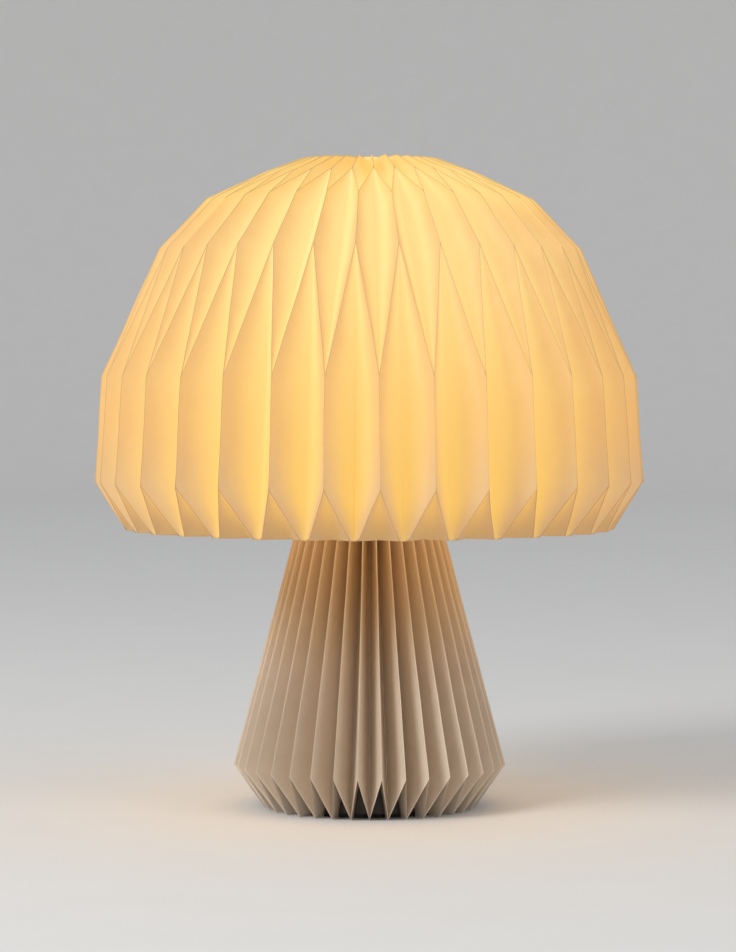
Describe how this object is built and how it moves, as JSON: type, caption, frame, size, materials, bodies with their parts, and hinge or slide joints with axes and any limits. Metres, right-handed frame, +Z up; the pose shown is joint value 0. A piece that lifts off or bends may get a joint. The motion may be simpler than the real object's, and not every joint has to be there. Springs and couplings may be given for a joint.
{
  "type": "pleated table lamp",
  "caption": "Table lamp with a domed pleated paper shade on a flared pleated paper column, with its lampholder, bulb and wire carrier inside.",
  "frame": {"origin": "centre of the foot on the surface that the lamp stands on", "axes": "+Z up along the lamp's axis, -Y the front seen in the picture, +X to its right"},
  "size_m": [0.2821, 0.2822, 0.334],
  "materials": {
    "shade_paper": "matt pleated paper, lit from inside",
    "collar_card": "matt card",
    "column_paper": "matt pleated paper",
    "painted_steel": "satin paint",
    "pan_enamel": "dark satin enamel",
    "pad_foam": "closed-cell foam",
    "cast_iron": "as cast, blacked",
    "rubber": "matt rubber",
    "zinc_steel": "zinc plated",
    "black_plastic": "matt phenolic",
    "brass": "bright brass",
    "lead_sheath": "soft sheath",
    "ceramic": "unglazed porcelain",
    "bulb_metal": "nickel plated",
    "bulb_insulator": "black glass",
    "bulb_housing": "white moulded plastic",
    "opal_glass": "opal",
    "board_white": "white lacquer",
    "led_phosphor": "phosphor coat",
    "carrier_wire": "white powder coat"
  },
  "bodies": {
    "base": {"column_sheet_1": "column_paper", "column_sheet_2": "column_paper", "column_seam_tape_1": "column_paper", "column_seam_tape_2": "column_paper", "column_cap": "painted_steel", "base_pan": "pan_enamel", "foot_pad": "pad_foam", "ballast_plate": "cast_iron", "inlet_grommet": "rubber", "pan_posts": "zinc_steel", "plate_screws": "zinc_steel", "pan_screws": "zinc_steel", "threaded_pipe": "zinc_steel", "pipe_nuts": "zinc_steel", "pipe_washers": "zinc_steel", "terminal_block": "black_plastic", "holder_cap": "black_plastic", "holder_shell": "black_plastic", "clamp_ring": "black_plastic", "switch_body": "black_plastic", "block_screws": "brass", "screw_shell": "brass", "centre_contact": "brass", "terminal_screws": "brass", "inner_lead": "lead_sheath", "core_wires": "lead_sheath", "holder_insert": "ceramic", "shade_carrier": "carrier_wire"},
    "shade": {"shade_sheet_1": "shade_paper", "shade_sheet_2": "shade_paper", "shade_sheet_3": "shade_paper", "shade_sheet_4": "shade_paper", "shade_sheet_5": "shade_paper", "shade_sheet_6": "shade_paper", "shade_seam_tape_1": "shade_paper", "shade_seam_tape_2": "shade_paper", "shade_seam_tape_3": "shade_paper", "shade_seam_tape_4": "shade_paper", "shade_seam_tape_5": "shade_paper", "shade_seam_tape_6": "shade_paper", "vent_collar": "collar_card"},
    "bulb": {"bulb_cap": "bulb_metal", "bulb_contact": "bulb_metal", "bulb_insulator": "bulb_insulator", "bulb_neck": "bulb_housing", "bulb_globe": "opal_glass", "led_board": "board_white", "led_chips": "led_phosphor"},
    "knob": {"switch_knob": "black_plastic"}
  },
  "joints": [
    {"name": "shade_lift", "type": "slide", "parent": "base", "child": "shade", "axis": [0, 0, 1], "range_m": [0, 0.18]},
    {"name": "bulb_unscrew", "type": "slide", "parent": "base", "child": "bulb", "axis": [0, 0, 1], "range_m": [0, 0.025]},
    {"name": "switch_turn", "type": "hinge", "parent": "base", "child": "knob", "pos_m": [0.0215, 0, 0.17735], "axis": [1, 0, 0], "range_deg": [0, 90]}
  ]
}
